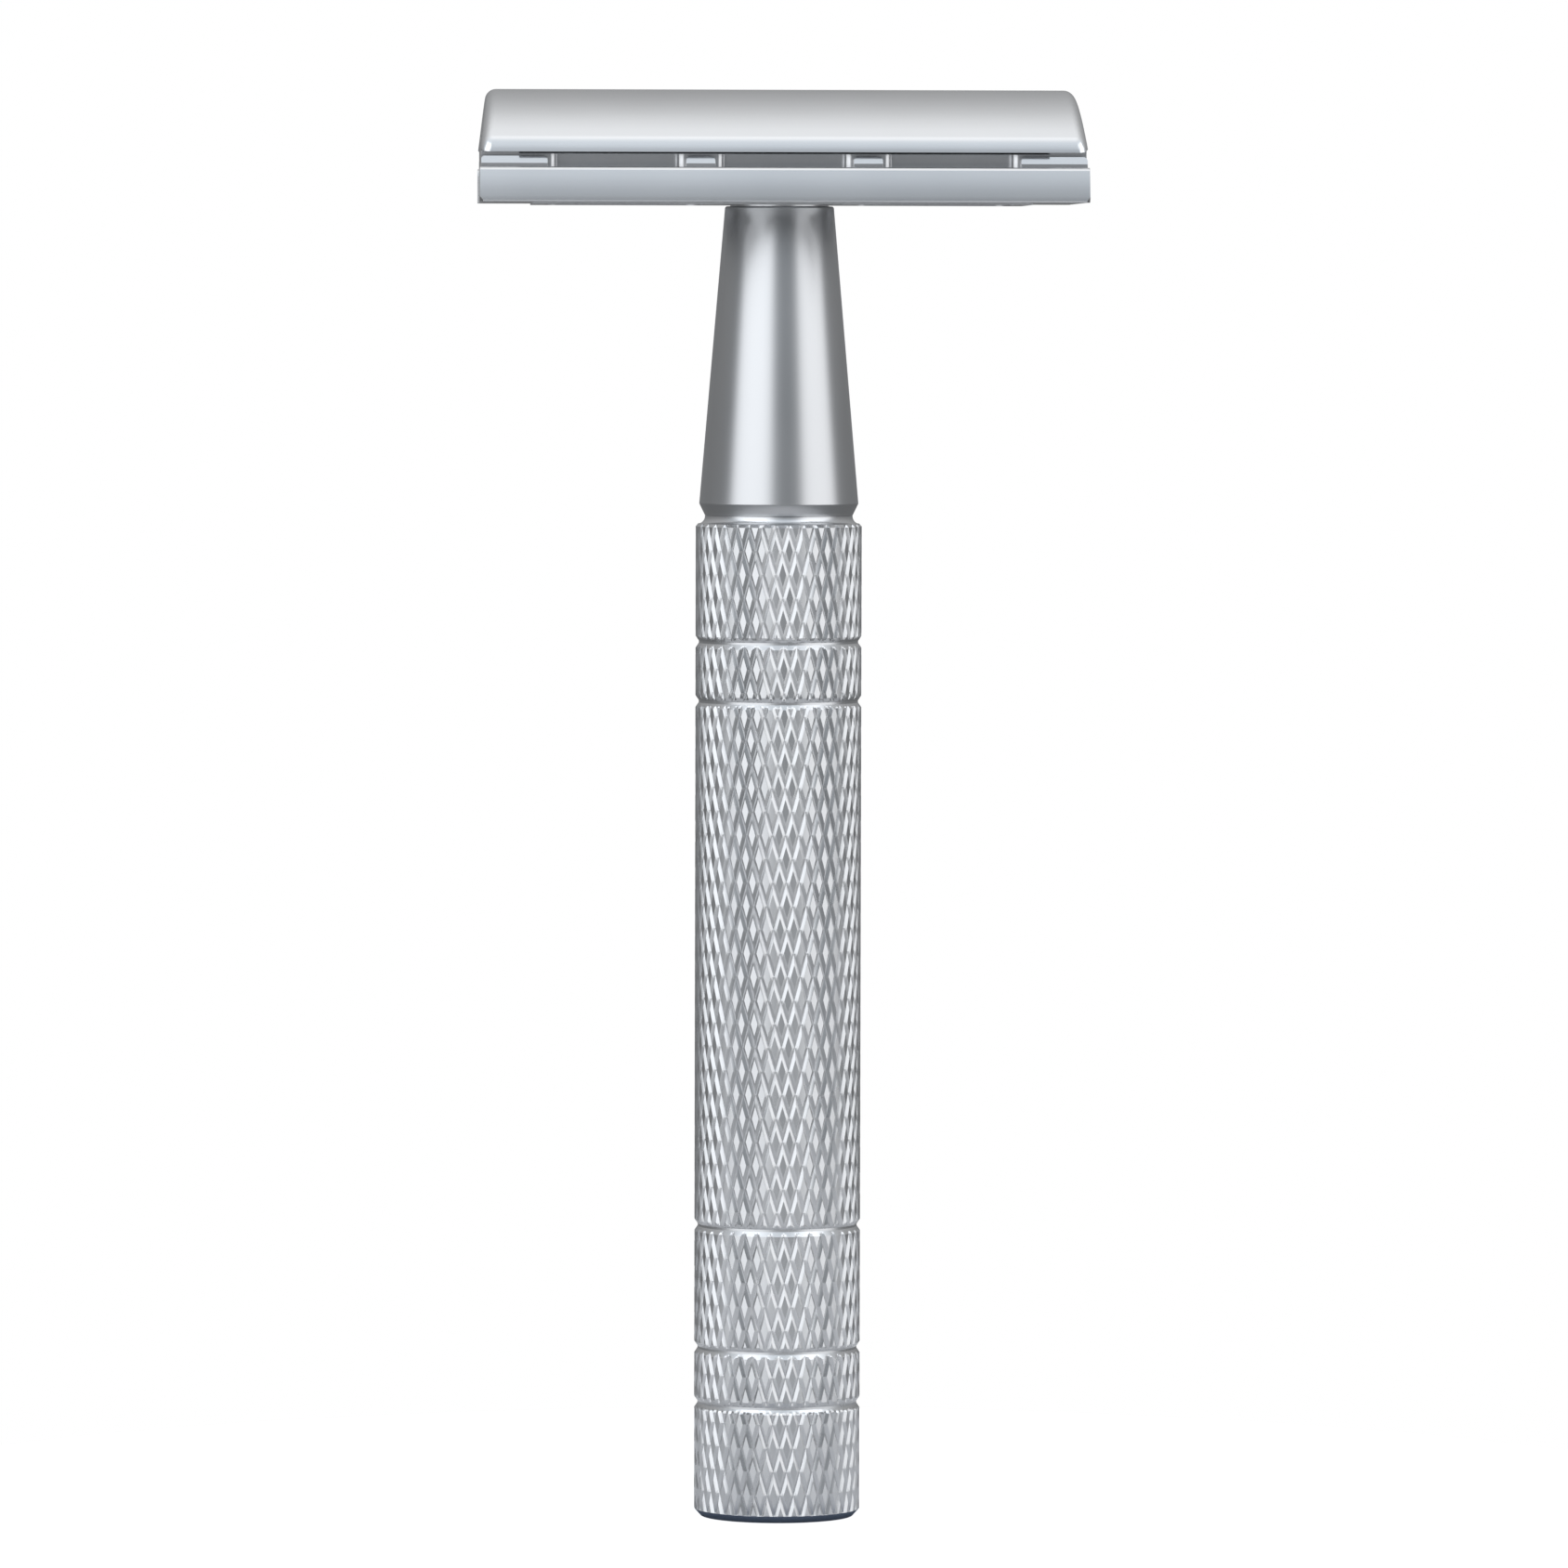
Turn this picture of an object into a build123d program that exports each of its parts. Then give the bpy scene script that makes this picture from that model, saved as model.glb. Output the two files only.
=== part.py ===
from build123d import *
import math
import os

# Three-piece double-edge safety razor. Millimetres.
# +Z runs up the handle, +X along the head, and the two safety bars lie at -Y and +Y.
# The origin is the centre of the handle's flat foot.

# Handle
GRIP_RADIUS = 6.0
GRIP_BORE_RADIUS = 4.0
FOOT_RADIUS = 5.5
FOOT_HEIGHT = 0.54  # chamfered foot below the barrel
PLUG_DEPTH = 9.0
PLUG_LEAD = 0.5  # chamfer on the plug's upper end
JOINT_HEIGHT = 72.5  # where the neck's shoulder meets the barrel
JOINT_RADIUS = 5.33  # bottom of the wide groove at that joint
SHOULDER_FLAT = 71.72  # end of the barrel's full radius
SHOULDER_BREAK = (0.16, 0.2)  # the slope above it starts this far in and this far up
CONE_START = 73.37
CONE_START_RADIUS = 5.75
HANDLE_HEIGHT = 94.8
CONE_END_RADIUS = 3.93
CONE_EDGE = 0.1  # chamfer at the neck's top rim
SPIGOT_LENGTH = 12.0
SPIGOT_LEAD = 0.4
GROOVE_HEIGHTS = (8.27, 12.27, 21.15, 59.08, 63.38)
GROOVE_WIDTH = 0.86
GROOVE_DEPTH = 0.24
GROOVE_FLAT = 0.16  # width of the groove's bottom

# Thread between head and handle: M5 x 0.8
STUD_RADIUS = 2.45
THREAD_BORE_RADIUS = 2.5
INSERT_RADIUS = 3.2
INSERT_LENGTH = 11.0
INSERT_SINK = 0.2  # the bush lies this far below the neck's rim
INSERT_RIM = 0.3  # flat ring left around the bush's countersunk mouth
INSERT_MOUTH_DEPTH = 0.4
THREAD_ENGAGEMENT = 6.4  # eight turns of 0.8
STUD_CHAMFER = 0.5
STUD_IN_CAP = 1.9

# Head, from outside to inside
HEAD_LENGTH = 43.4
CAP_CROWN = 103.2
CAP_EDGE_HEIGHT = 98.58
CAP_ARC_RADIUS = 15.5
CAP_ARC_CENTRE = CAP_CROWN - CAP_ARC_RADIUS
CAP_ROLL_TOP = 99.7  # the crown's arc turns into the tighter edge roll here
CAP_ROLL_ANGLES = (  # degrees above level that the roll faces, at its lower and upper ends
    10.0,
    math.degrees(math.asin((CAP_ROLL_TOP - CAP_ARC_CENTRE) / CAP_ARC_RADIUS)),
)
CAP_ROLL_SINES = [math.sin(math.radians(angle)) for angle in CAP_ROLL_ANGLES]
CAP_ROLL_COSINES = [math.cos(math.radians(angle)) for angle in CAP_ROLL_ANGLES]
CAP_ROLL_RADIUS = (CAP_ROLL_TOP - CAP_EDGE_HEIGHT) / (CAP_ROLL_SINES[1] - CAP_ROLL_SINES[0])
CAP_ROLL_CENTRE = (
    (CAP_ARC_RADIUS - CAP_ROLL_RADIUS) * CAP_ROLL_COSINES[1],
    CAP_ROLL_TOP - CAP_ROLL_RADIUS * CAP_ROLL_SINES[1],
)
CAP_HALF_DEPTH = CAP_ROLL_CENTRE[0] + CAP_ROLL_RADIUS * CAP_ROLL_COSINES[0]
CAP_END_DRAFT = 6.5  # degrees
CAP_END_FILLET = 0.8
CAP_CORNER_CHAMFER = 0.3  # at the ends of the cap's two long lower edges

# The blade is bent over the base plate's crown. Cap, blade and base plate share one bend axis along X.
BEND_RADIUS = 42.0
BEND_AXIS_HEIGHT = CAP_EDGE_HEIGHT - math.sqrt(BEND_RADIUS**2 - CAP_HALF_DEPTH**2)
BLADE_CLEARANCE = 0.03
BLADE_THICKNESS = 0.1
BLADE_LENGTH = 43.0
BLADE_WIDTH = 21.6
BLADE_EDGE_LENGTH = 37.8
BLADE_TAB_WIDTH = 15.4
BLADE_HOLE_RADIUS = 2.9
BLADE_PIN_HOLE_RADIUS = 1.75
BLADE_SLOT_LENGTH = 33.0
BLADE_SLOT_WIDTH = 2.0

PIN_SPACING = 26.4
PIN_RADIUS = 1.5
PIN_HOLE_RADIUS = 1.56
PIN_IN_CAP = 1.5
PIN_LENGTH = 5.2
PIN_NOSE_ROUND = 0.9

# Base plate
BAR_BOTTOM = 95.04
BAR_TOP = 97.52
BAR_INNER = 10.75
BAR_OUTER = 12.45
BAR_FACE_RADIUS = 8.0  # the bar's outer face is slightly crowned
BAR_FACE_LEAN = (8.0, 24.0)  # degrees above level that it faces at its foot and at its shoulder
BAR_ROUND_LEAN = 40.0  # the rounded top starts at the shoulder with this lean, which leaves a crease
BAR_LIP = 0.12  # small chamfer along the bar's foot
BAR_END_CHAMFER = 0.22
PLATFORM_HALF_DEPTH = 9.3
PLATFORM_END = 21.6
STUD_HOLE_RADIUS = 2.65
DRAIN_PITCH = 11.94
DRAIN_LENGTH = 9.87
NOTCH_LENGTH = 8.44
NOTCH_DEPTH = 1.3
NOTCH_CORNER = 0.6
WEB_TOP = 98.3
WEB_RIDGE_DEPTH = 1.42
WEB_SLOPE_FOOT = 97.78  # the ridge's face is upright below this height and slopes back above it
WEB_SLOPE_DEPTH = 0.3
WEB_SADDLE = 97.25  # low link between a web's ridge and the bar
WEB_CORNER = 0.3
BELLY_HALF_LENGTH = 17.9
BELLY_HALF_DEPTH = 7.2
BELLY_DROP = 0.14  # the belly hangs this far below the bars
POCKET_DEPTH = 1.4
POCKET_INNER = 5.6
POCKET_OUTER = 16.9
POCKET_HALF_DEPTH = 6.1
POCKET_CORNER = 1.0
SEAT_RADIUS = 3.55

CUT = 200.0  # longer than anything it cuts
OVERLAP = 0.3  # how far joined shapes reach into each other


def turned(*outline):
    """A solid turned about Z from (radius, height) corners."""
    profile = make_face(Polyline(*outline, close=True))
    return revolve(Plane.XZ * profile, Axis.Z)


def block(x_range, y_range, z_range):
    """A box from its lowest and highest coordinates."""
    sizes = [high - low for low, high in (x_range, y_range, z_range)]
    centre = [(low + high) / 2 for low, high in (x_range, y_range, z_range)]
    return Pos(*centre) * Box(*sizes)


def upright(radius, bottom, top, x=0.0):
    """A cylinder along Z between two heights."""
    return Pos(x, 0, bottom) * Cylinder(
        radius, top - bottom, align=(Align.CENTER, Align.CENTER, Align.MIN)
    )


def bend_cylinder(radius, length):
    """A cylinder along X about the axis that cap, blade and base plate are bent around."""
    return Pos(0, 0, BEND_AXIS_HEIGHT) * Rot(0, 90, 0) * Cylinder(radius, length)


def end_plug():
    """The chamfered foot, with its spigot pressed up into the barrel."""
    return turned(
        (0, 0),
        (FOOT_RADIUS, 0),
        (GRIP_RADIUS, FOOT_HEIGHT),
        (GRIP_BORE_RADIUS, FOOT_HEIGHT),
        (GRIP_BORE_RADIUS, PLUG_DEPTH - PLUG_LEAD),
        (GRIP_BORE_RADIUS - PLUG_LEAD, PLUG_DEPTH),
        (0, PLUG_DEPTH),
    )


def groove(height):
    """The ring that a V groove with a small flat bottom takes out of the barrel."""
    half_width = GROOVE_WIDTH / 2
    half_flat = GROOVE_FLAT / 2
    bottom = GRIP_RADIUS - GROOVE_DEPTH
    return turned(
        (bottom, height - half_flat),
        (bottom, height + half_flat),
        (GRIP_RADIUS, height + half_width),
        (GRIP_RADIUS + OVERLAP, height + half_width),
        (GRIP_RADIUS + OVERLAP, height - half_width),
        (GRIP_RADIUS, height - half_width),
    )


def grip():
    """The barrel: a tube with five grooves and a sloping shoulder at its top."""
    break_in, break_up = SHOULDER_BREAK
    tube = turned(
        (GRIP_BORE_RADIUS, FOOT_HEIGHT),
        (GRIP_RADIUS, FOOT_HEIGHT),
        (GRIP_RADIUS, SHOULDER_FLAT),
        (GRIP_RADIUS - break_in, SHOULDER_FLAT + break_up),
        (JOINT_RADIUS, JOINT_HEIGHT),
        (GRIP_BORE_RADIUS, JOINT_HEIGHT),
    )
    for height in GROOVE_HEIGHTS:
        tube -= groove(height)
    return tube


def neck():
    """The tapered neck, with a spigot down in the barrel and a pocket for the threaded bush."""
    bush_bottom = HANDLE_HEIGHT - INSERT_SINK - INSERT_LENGTH
    spigot_end = JOINT_HEIGHT - SPIGOT_LENGTH
    body = turned(
        (0, spigot_end),
        (GRIP_BORE_RADIUS - SPIGOT_LEAD, spigot_end),
        (GRIP_BORE_RADIUS, spigot_end + SPIGOT_LEAD),
        (GRIP_BORE_RADIUS, JOINT_HEIGHT),
        (JOINT_RADIUS, JOINT_HEIGHT),
        (CONE_START_RADIUS, CONE_START),
        (CONE_END_RADIUS, HANDLE_HEIGHT - CONE_EDGE),
        (CONE_END_RADIUS - CONE_EDGE, HANDLE_HEIGHT),
        (0, HANDLE_HEIGHT),
    )
    return body - upright(INSERT_RADIUS, bush_bottom, CUT)


def neck_insert():
    """The threaded bush in the neck. The bore is at the thread's largest radius."""
    top = HANDLE_HEIGHT - INSERT_SINK
    bush = upright(INSERT_RADIUS, top - INSERT_LENGTH, top)
    bore = upright(THREAD_BORE_RADIUS, top - INSERT_LENGTH, top)
    mouth = turned(
        (0, top - INSERT_MOUTH_DEPTH),
        (THREAD_BORE_RADIUS, top - INSERT_MOUTH_DEPTH),
        (INSERT_RADIUS - INSERT_RIM, top),
        (0, top),
    )
    return bush - bore - mouth


def end_faces(body):
    """The faces that close a long body at its two ends along X, level or leaning a little."""
    return body.faces().filter_by(lambda face: abs(face.normal_at().X) > 0.9)


def cap_section():
    """The cap's outer skin as a closed section in Y and Z: a crown arc with a tighter roll each side."""
    low, high = CAP_ROLL_ANGLES
    crown = CenterArc((0, CAP_ARC_CENTRE), CAP_ARC_RADIUS, high, 180 - 2 * high)
    right_roll = CenterArc(CAP_ROLL_CENTRE, CAP_ROLL_RADIUS, low, high - low)
    left_roll = mirror(right_roll, Plane.YZ)
    closing = Line((-CAP_HALF_DEPTH, CAP_EDGE_HEIGHT), (CAP_HALF_DEPTH, CAP_EDGE_HEIGHT))
    return make_face([crown, right_roll, left_roll, closing])


def cap():
    """The cap: a curved plate with drafted ends, hollowed to the blade's bend."""
    half_length = HEAD_LENGTH / 2
    body = extrude(Plane.YZ * cap_section(), half_length, both=True)
    lean = math.tan(math.radians(CAP_END_DRAFT)) * (CAP_CROWN - CAP_EDGE_HEIGHT)
    side_view = make_face(
        Polyline(
            (-half_length, CAP_EDGE_HEIGHT),
            (half_length, CAP_EDGE_HEIGHT),
            (half_length - lean, CAP_CROWN),
            (-half_length + lean, CAP_CROWN),
            close=True,
        )
    )
    body &= extrude(Plane.XZ * side_view, CUT, both=True)
    top_edges = [
        edge
        for face in end_faces(body)
        for edge in face.edges()
        if edge.center().Z > CAP_EDGE_HEIGHT + CAP_CORNER_CHAMFER
    ]
    body = fillet(top_edges, CAP_END_FILLET)
    for side in (-1, 1):
        end = side * half_length
        wedge = make_face(
            Polyline(
                (end, CAP_EDGE_HEIGHT),
                (end - side * CAP_CORNER_CHAMFER, CAP_EDGE_HEIGHT),
                (end, CAP_EDGE_HEIGHT + CAP_CORNER_CHAMFER),
                close=True,
            )
        )
        body -= extrude(Plane.XZ * wedge, CUT, both=True)
    body -= bend_cylinder(BEND_RADIUS, CUT)
    underside = BEND_AXIS_HEIGHT + BEND_RADIUS
    body -= upright(STUD_RADIUS, 0, underside + STUD_IN_CAP)
    for side in (-1, 1):
        body -= upright(PIN_RADIUS, 0, underside + PIN_IN_CAP, side * PIN_SPACING / 2)
    return body


def threaded_stud():
    """The stud pressed into the cap. Its rod is at the thread's largest radius."""
    top = BEND_AXIS_HEIGHT + BEND_RADIUS + STUD_IN_CAP
    tip = HANDLE_HEIGHT - INSERT_SINK - THREAD_ENGAGEMENT
    return turned(
        (0, tip),
        (STUD_RADIUS - STUD_CHAMFER, tip),
        (STUD_RADIUS, tip + STUD_CHAMFER),
        (STUD_RADIUS, top),
        (0, top),
    )


def locating_pins():
    """The two round-nosed pins under the cap."""
    top = BEND_AXIS_HEIGHT + BEND_RADIUS + PIN_IN_CAP
    pin = upright(PIN_RADIUS, top - PIN_LENGTH, top)
    pin = fillet(pin.edges().group_by(Axis.Z)[0], PIN_NOSE_ROUND)
    return [Pos(side * PIN_SPACING / 2, 0, 0) * pin for side in (-1, 1)]


def blade():
    """The double-edge blade, bent, with a long slot, three holes and narrowed end tabs."""
    outer = BEND_RADIUS - BLADE_CLEARANCE
    sheet = bend_cylinder(outer, BLADE_LENGTH) - bend_cylinder(outer - BLADE_THICKNESS, BLADE_LENGTH)
    half_angle = BLADE_WIDTH / 2 / (outer - BLADE_THICKNESS / 2)
    tab_angle = BLADE_TAB_WIDTH / 2 / (outer - BLADE_THICKNESS / 2)
    above = BEND_AXIS_HEIGHT
    middle = block(
        (-BLADE_EDGE_LENGTH / 2, BLADE_EDGE_LENGTH / 2),
        (-outer * math.sin(half_angle), outer * math.sin(half_angle)),
        (above, CUT),
    )
    tabs = block(
        (-BLADE_LENGTH / 2, BLADE_LENGTH / 2),
        (-outer * math.sin(tab_angle), outer * math.sin(tab_angle)),
        (above, CUT),
    )
    sheet &= middle + tabs
    sheet -= upright(BLADE_HOLE_RADIUS, above, CUT)
    for side in (-1, 1):
        sheet -= upright(BLADE_PIN_HOLE_RADIUS, above, CUT, side * PIN_SPACING / 2)
    slot = extrude(Plane.XY * SlotOverall(BLADE_SLOT_LENGTH, BLADE_SLOT_WIDTH), CUT)
    return sheet - slot


def platform():
    """The base plate's middle, crowned under the blade, with the drain notches in its long walls."""
    body = block(
        (-PLATFORM_END, PLATFORM_END),
        (-PLATFORM_HALF_DEPTH, PLATFORM_HALF_DEPTH),
        (BAR_BOTTOM, CAP_CROWN),
    )
    crown_radius = BEND_RADIUS - 2 * BLADE_CLEARANCE - BLADE_THICKNESS
    body &= bend_cylinder(crown_radius, CUT)
    for side in (-1, 1):
        for step in (-1, 0, 1):
            x = step * DRAIN_PITCH
            wall = side * PLATFORM_HALF_DEPTH
            floor = side * (PLATFORM_HALF_DEPTH - NOTCH_DEPTH)
            body -= block(
                (x - NOTCH_LENGTH / 2, x + NOTCH_LENGTH / 2), sorted((floor, wall + side)), (0, CUT)
            )
    mouth_range = DRAIN_PITCH + NOTCH_LENGTH / 2 + OVERLAP
    mouths = [
        edge
        for edge in body.edges().filter_by(Axis.Z)
        if abs(edge.center().Y) > PLATFORM_HALF_DEPTH - OVERLAP and abs(edge.center().X) < mouth_range
    ]
    return fillet(mouths, NOTCH_CORNER)


def on_circle(centre, radius, degrees):
    """A point on a circle, from its centre, in the plane of a section."""
    angle = math.radians(degrees)
    return (centre[0] + radius * math.cos(angle), centre[1] + radius * math.sin(angle))


def bar_section():
    """The bar's closed section in Y and Z: a crowned outer face under a rounded top."""
    low, high = BAR_FACE_LEAN
    face_centre = (
        BAR_OUTER - BAR_FACE_RADIUS,
        BAR_BOTTOM + BAR_LIP - BAR_FACE_RADIUS * math.sin(math.radians(low)),
    )
    shoulder = on_circle(face_centre, BAR_FACE_RADIUS, high)
    # The top is one arc from the shoulder, over its level middle, to the drafted inner wall.
    lean = math.radians(BAR_ROUND_LEAN)
    round_radius = (BAR_TOP - shoulder[1]) / (1 - math.sin(lean))
    round_centre = (
        shoulder[0] - round_radius * math.cos(lean),
        shoulder[1] - round_radius * math.sin(lean),
    )
    foot = on_circle(face_centre, BAR_FACE_RADIUS, low)
    outer_face = CenterArc(face_centre, BAR_FACE_RADIUS, low, high - low)
    top = CenterArc(round_centre, round_radius, BAR_ROUND_LEAN, 180 - BAR_ROUND_LEAN)
    lip = Polyline((BAR_INNER, BAR_BOTTOM), (foot[0] - BAR_LIP, BAR_BOTTOM), foot)
    inner_wall = Line(top @ 1, (BAR_INNER, BAR_BOTTOM))
    return make_face([outer_face, top, inner_wall, lip])


def safety_bar():
    """The straight bar at +Y, with a rounded top and chamfered ends."""
    bar = extrude(Plane.YZ * bar_section(), HEAD_LENGTH / 2, both=True)
    outer_edges = [face.edges().sort_by(Axis.Y)[-1] for face in end_faces(bar)]
    return chamfer(outer_edges, BAR_END_CHAMFER)


def web(start, end):
    """One link at +Y, from the platform's wall out to the bar, between two places along X."""
    root = PLATFORM_HALF_DEPTH - OVERLAP
    ridge_outer = PLATFORM_HALF_DEPTH + WEB_RIDGE_DEPTH
    section = make_face(
        Polyline(
            (root, BAR_BOTTOM),
            (ridge_outer, BAR_BOTTOM),
            (ridge_outer, WEB_SLOPE_FOOT),
            (ridge_outer - WEB_SLOPE_DEPTH, WEB_TOP),
            (root, WEB_TOP),
            close=True,
        )
    )
    front = RectangleRounded(end - start, WEB_TOP - BAR_BOTTOM, WEB_CORNER)
    centred = Pos((start + end) / 2, (WEB_TOP + BAR_BOTTOM) / 2) * front
    ridge = extrude(Plane.YZ * section, CUT, both=True) & extrude(Plane.XZ * centred, CUT, both=True)
    saddle = block((start, end), (root, BAR_INNER + OVERLAP), (BAR_BOTTOM, WEB_SADDLE))
    return ridge + saddle


def webs():
    """The four short links at +Y."""
    outer_start = DRAIN_PITCH + DRAIN_LENGTH / 2
    inner_start = DRAIN_LENGTH / 2
    inner_end = DRAIN_PITCH - DRAIN_LENGTH / 2
    return [
        web(outer_start, PLATFORM_END),
        web(-PLATFORM_END, -outer_start),
        web(inner_start, inner_end),
        web(-inner_end, -inner_start),
    ]


def belly():
    """The shallow raised underside, with the handle's round seat on it."""
    bottom = BAR_BOTTOM - BELLY_DROP
    slab = block(
        (-BELLY_HALF_LENGTH, BELLY_HALF_LENGTH),
        (-BELLY_HALF_DEPTH, BELLY_HALF_DEPTH),
        (bottom, BAR_BOTTOM + OVERLAP),
    )
    return slab + upright(SEAT_RADIUS, HANDLE_HEIGHT, BAR_BOTTOM)


def pocket():
    """The hollow cut up into the belly at +X, which keeps the casting's walls even."""
    bottom = BAR_BOTTOM - BELLY_DROP
    hollow = block(
        (POCKET_INNER, POCKET_OUTER),
        (-POCKET_HALF_DEPTH, POCKET_HALF_DEPTH),
        (bottom - OVERLAP, bottom + POCKET_DEPTH),
    )
    return fillet(hollow.edges().filter_by(Axis.Z), POCKET_CORNER)


def base_plate():
    """The guard: platform, two safety bars and the webs between them, in one casting."""
    bar_and_webs = safety_bar()
    for link in webs():
        bar_and_webs += link
    body = platform() + belly() + bar_and_webs + mirror(bar_and_webs, Plane.XZ)
    body -= pocket()
    body -= mirror(pocket(), Plane.YZ)
    for side in (-1, 1):
        body -= upright(PIN_HOLE_RADIUS, 0, CUT, side * PIN_SPACING / 2)
    return body - upright(STUD_HOLE_RADIUS, 0, CUT)


NODES = {
    "end_plug": end_plug,
    "grip": grip,
    "neck": neck,
    "neck_insert": neck_insert,
    "base_plate": base_plate,
    "blade": blade,
    "cap": cap,
    "threaded_stud": threaded_stud,
    "locating_pins": locating_pins,
}

os.makedirs("parts", exist_ok=True)
for name, make in NODES.items():
    made = make()
    solids = made if isinstance(made, list) else made.solids()
    shape = solids[0] if len(solids) == 1 else Compound(children=list(solids))
    export_step(shape, f"parts/{name}.step")
    print(name, len(solids), "solid(s)")
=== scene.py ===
import math

import bmesh
import bpy
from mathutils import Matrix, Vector


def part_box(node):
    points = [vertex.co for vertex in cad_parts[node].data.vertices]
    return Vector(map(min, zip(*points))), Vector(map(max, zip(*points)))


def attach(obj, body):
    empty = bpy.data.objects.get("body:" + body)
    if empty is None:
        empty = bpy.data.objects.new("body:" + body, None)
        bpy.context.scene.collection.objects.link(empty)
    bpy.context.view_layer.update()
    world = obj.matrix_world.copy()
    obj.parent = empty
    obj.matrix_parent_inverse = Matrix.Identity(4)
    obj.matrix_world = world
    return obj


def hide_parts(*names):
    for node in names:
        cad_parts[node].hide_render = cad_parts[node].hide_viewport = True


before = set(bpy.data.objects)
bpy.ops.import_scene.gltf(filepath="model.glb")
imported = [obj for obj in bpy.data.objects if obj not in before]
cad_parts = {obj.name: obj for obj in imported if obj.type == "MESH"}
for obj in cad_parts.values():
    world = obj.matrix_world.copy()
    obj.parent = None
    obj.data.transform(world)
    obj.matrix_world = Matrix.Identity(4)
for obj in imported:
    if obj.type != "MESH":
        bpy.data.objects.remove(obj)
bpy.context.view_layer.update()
MM = 0.001

# ---------------------------------------------------------------- sizes that the frame doesn't give

# Handle, heights above the foot
GROOVE_HEIGHTS = [8.27 * MM, 12.27 * MM, 21.15 * MM, 59.08 * MM, 63.38 * MM]
GROOVE_HALF_WIDTH = 0.43 * MM
GROOVE_HALF_FLAT = 0.08 * MM  # of the flat bottom
GROOVE_DEPTH = 0.24 * MM
GROOVE_WALL_STEPS = 4  # level mesh lines up each wall
BORE_RADIUS = 4.0 * MM
SHOULDER_FLAT = 71.72 * MM  # the knurl ends here, under the hollow shoulder
SHOULDER_BREAK_RADIUS = 5.83 * MM  # where the hollow starts
SHOULDER_BREAK_HEIGHT = 71.92 * MM
SHOULDER_STEPS = 8
JOINT_RADIUS = 5.33 * MM  # bottom of the wide groove between barrel and neck
CONE_START = 73.37 * MM
CONE_END_RADIUS = 3.93 * MM
CONE_EDGE = 0.1 * MM  # chamfer at the neck's top rim
NECK_SPIGOT_LEAD = 0.4 * MM
FOOT_SPIGOT_LEAD = 0.5 * MM
FOOT_RADIUS = 5.5 * MM
EDGE_ROUND = 0.05 * MM

# Knurl: two families of V grooves that wind opposite ways round the barrel
KNURL_STARTS = 38  # grooves in each family
KNURL_PERIODS = (3.239 * MM, 3.580 * MM)  # along the axis, from one groove of a family to the next
KNURL_TURN = math.radians(0.82)  # where the pattern starts round the axis
KNURL_RISE = 0.33 * MM  # and along it
KNURL_HALF_WIDTH = 0.215  # half a groove, of the distance between grooves
KNURL_DEPTH = 0.155 * MM
KNURL_EDGE = 0.03  # worn edge of a lozenge, of the distance between grooves
KNURL_EDGE_DROP = 0.012 * MM

# Thread between head and handle
THREAD_PITCH = 0.8 * MM
THREAD_DEPTH = 0.44 * MM
THREAD_CLEARANCE = 0.05 * MM
THREAD_SHARES = [0.0, 0.06, 0.44, 0.56, 0.94]  # of the pitch: root, up the flank, crest, down the flank, root
STUD_POINT_LENGTH = 0.5 * MM
STUD_POINT_START = 0.02 * MM  # the point starts this far inside the thread's root
STUD_POINT_END = 0.25 * MM  # and ends this far inside it
STUD_PLAIN_LENGTH = 0.3 * MM  # of the waist between the thread and the cap
STUD_RUNOUT = 0.1 * MM
BUSH_MOUTH_DEPTH = 0.4 * MM
BUSH_MOUTH_STEP = 0.1 * MM  # how far each mouth is wider than the thread

# Blade
BLADE_BEND = 41.97 * MM  # radius of its outer face
BLADE_THICKNESS = 0.1 * MM
BLADE_WIDTH = 21.6 * MM
BLADE_EDGE_LENGTH = 37.8 * MM
BLADE_TAB_WIDTH = 15.4 * MM
BLADE_TAB_CORNER = 0.6 * MM
BLADE_SLOT_LENGTH = 33.0 * MM
BLADE_SLOT_WIDTH = 2.0 * MM
BLADE_HOLE_RADIUS = 2.9 * MM
BLADE_PIN_HOLE_RADIUS = 1.75 * MM
PIN_SPACING = 26.4 * MM
BLADE_BEVEL = 1.1 * MM  # width of the ground facet along each edge
BLADE_TIP = 0.012 * MM  # thickness left at the cutting edge
BLADE_BEND_LINES = range(-9, 10)  # millimetres from the middle, mesh lines that let the strip bend

# Mesh fineness
LATHE_SEGMENTS = 192
BORE_SEGMENTS = 240
THREAD_SEGMENTS = 96
HOLE_STEPS = 16
SLOT_END_STEPS = 12
EDGE_STEPS = 3
EDGE_CREASE = math.radians(25)  # sharper edges than this stay sharp
KNURL_CREASE = math.radians(14)
BLADE_CREASE = math.radians(4)

# How near counts as the same, in metres
CUT_TOLERANCE = 1e-9
LEVEL_TOLERANCE = 1e-7
MERGE_DISTANCE = 1e-7
FLAT_TOLERANCE = 1e-6


# ---------------------------------------------------------------- camera

VIEW_DISTANCE = 0.790  # metres from the handle's axis
VIEW_AZIMUTH = math.radians(-2.0)  # from straight in front, to the left
EYE_HEIGHT = 0.0896
SENSOR_WIDTH = 36.0
FOCAL_LENGTH = 251.0
TILT = math.radians(2.647)  # below the horizon
PAN = math.radians(-0.0246)
ROLL = math.radians(-0.13)


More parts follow.
